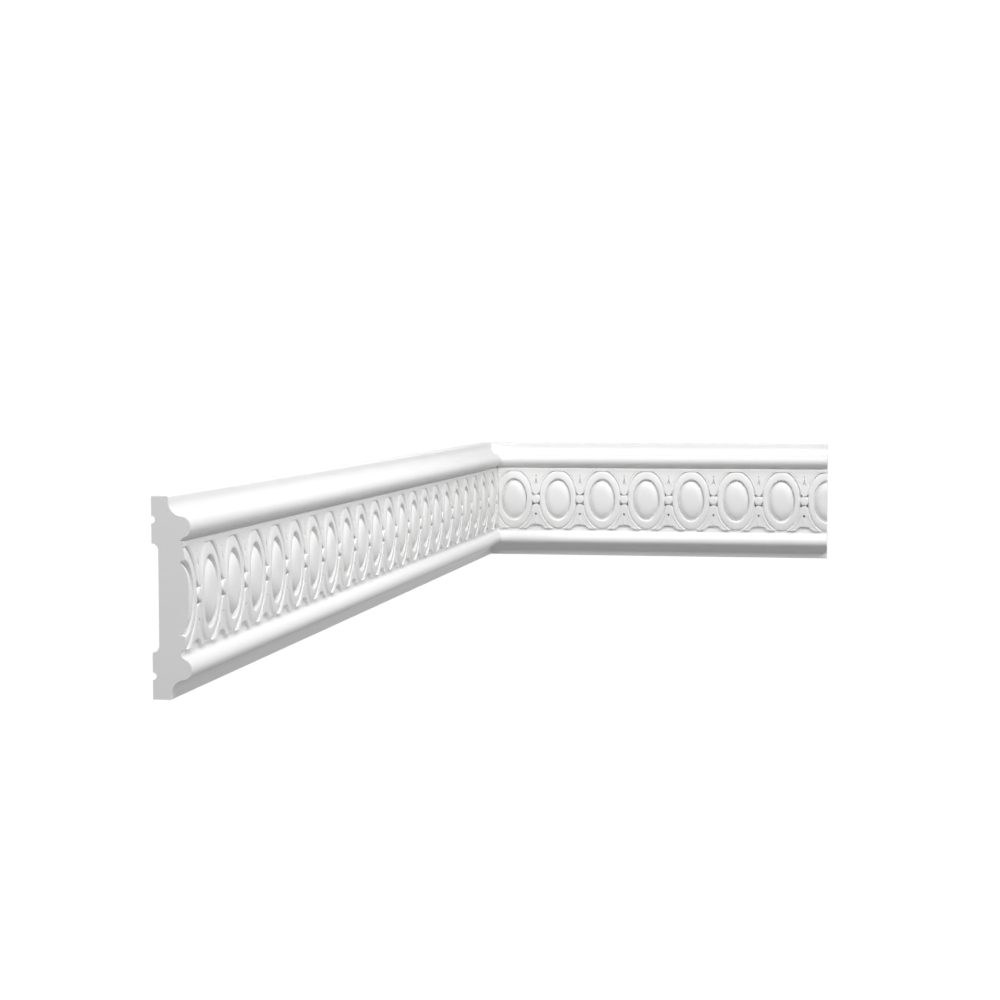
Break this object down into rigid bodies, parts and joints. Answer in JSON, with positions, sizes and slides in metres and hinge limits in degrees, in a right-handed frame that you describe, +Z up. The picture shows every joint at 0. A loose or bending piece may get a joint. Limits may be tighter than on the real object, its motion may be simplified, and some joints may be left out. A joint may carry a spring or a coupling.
{
  "type": "wall moulding",
  "caption": "Carved wall rail in two mitred lengths for an inside corner: cavetto and half-round mouldings frame a band of ovals, beads and leaves.",
  "frame": {"origin": "On the back of the long length, on the flat strip between its lower glue groove and its hollow: 50 mm from the corner of the walls and 18.3 mm above the rail's bottom edge.", "axes": "+Z up the wall. +X out of the wall that holds the long length, and along the short length away from the corner. The long length runs along -Y from the corner, and +Y goes into the wall that holds the short length."},
  "size_m": [0.3083, 0.8766, 0.1],
  "materials": {
    "white_primed_foam": "matte"
  },
  "bodies": {
    "root": {"long_length": "white_primed_foam", "short_length": "white_primed_foam"}
  },
  "joints": []
}
